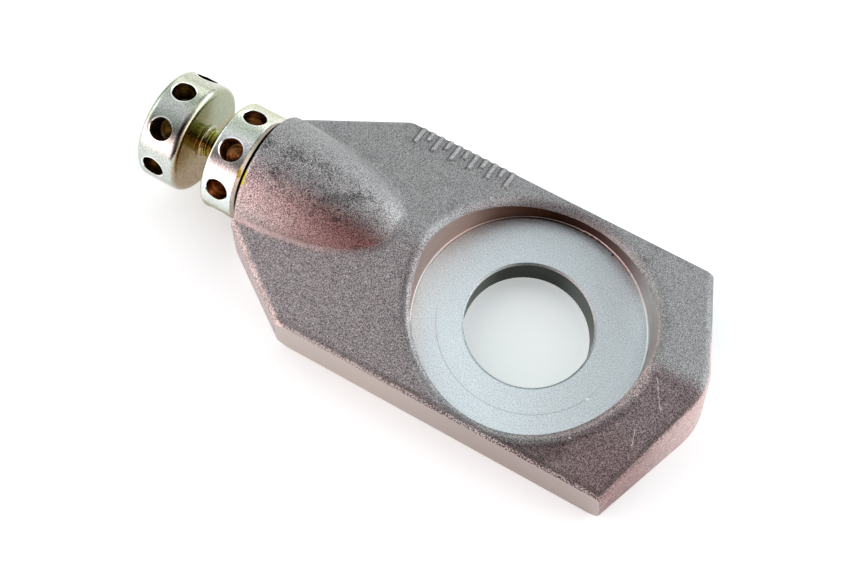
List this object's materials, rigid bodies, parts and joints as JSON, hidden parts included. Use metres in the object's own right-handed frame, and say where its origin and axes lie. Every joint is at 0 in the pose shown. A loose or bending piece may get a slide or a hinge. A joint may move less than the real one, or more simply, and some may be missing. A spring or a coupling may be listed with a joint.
{
  "type": "motorcycle chain adjuster",
  "caption": "Cast chain adjuster block with an axle hole in a round recess, and a tommy-bar bolt with a round lock nut that sets the chain's tension.",
  "frame": {"origin": "centre of the axle hole at the block's back face", "axes": "+X along the bolt axis from the bolt head towards the nose, +Y across the block towards the edge with the scale, +Z out of the recess"},
  "size_m": [0.1171, 0.05, 0.0251],
  "materials": {
    "cast_aluminium": "shot-blasted casting with smooth machined faces",
    "zinc_plated_bolt": "bright zinc plating with a faint yellow cast",
    "zinc_plated_nut": "bright zinc plating with a faint yellow cast"
  },
  "bodies": {
    "adjuster_block": {"adjuster_block": "cast_aluminium"},
    "adjuster_bolt": {"adjuster_bolt": "zinc_plated_bolt"},
    "lock_nut": {"lock_nut": "zinc_plated_nut"}
  },
  "joints": [
    {"name": "bolt_travel", "type": "slide", "parent": "adjuster_block", "child": "adjuster_bolt", "axis": [1, 0, 0], "range_m": [-0.018, 0.0057]},
    {"name": "nut_turn", "type": "hinge", "parent": "adjuster_block", "child": "lock_nut", "pos_m": [-0.06245, 0, 0.01287], "axis": [1, 0, 0], "continuous": true}
  ]
}
